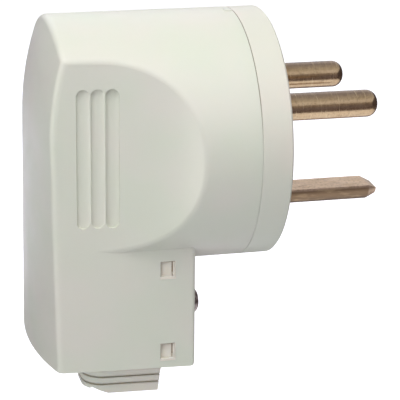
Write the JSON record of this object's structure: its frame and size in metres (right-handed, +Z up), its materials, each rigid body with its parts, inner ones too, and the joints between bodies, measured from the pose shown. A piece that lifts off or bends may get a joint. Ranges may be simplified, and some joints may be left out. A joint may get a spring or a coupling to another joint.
{
  "type": "side-exit plug",
  "caption": "Three-pin mains plug with a flat-topped earth pin and a flat neck that lets the cable out sideways.",
  "frame": {"origin": "centre of the drum on the flat face that meets the socket", "axes": "+X along the pins and away from the plug, +Z up towards the drum's top, the neck and cable exit towards -Z, Y across, mirror-symmetric"},
  "size_m": [0.0643, 0.044, 0.0696],
  "materials": {
    "cover_plastic": "warm off-white moulded plastic, fine satin",
    "grommet_plastic": "warm off-white flexible plastic, matt",
    "carrier_plastic": "plain insulating plastic",
    "pin_brass": "worn brass with fine turning marks",
    "insert_brass": "turned brass",
    "plated_steel": "bright plated steel",
    "clamp_screw_metal": "browned steel"
  },
  "bodies": {
    "root": {"assembly_insert": "insert_brass", "assembly_screw": "plated_steel", "cable_grommet": "grommet_plastic", "contact_carrier": "carrier_plastic", "cord_clamp_bar": "carrier_plastic", "earth_pin": "pin_brass", "earth_terminal_screw": "plated_steel", "earth_washer": "plated_steel", "face_plate": "cover_plastic", "left_carrier_screw": "plated_steel", "left_clamp_insert": "insert_brass", "left_clamp_screw": "clamp_screw_metal", "line_pin": "pin_brass", "line_terminal_screw": "plated_steel", "line_washer": "plated_steel", "neck_cover": "cover_plastic", "neutral_pin": "pin_brass", "neutral_terminal_screw": "plated_steel", "neutral_washer": "plated_steel", "rear_cover": "cover_plastic", "right_carrier_screw": "plated_steel", "right_clamp_insert": "insert_brass", "right_clamp_screw": "clamp_screw_metal"}
  },
  "joints": []
}
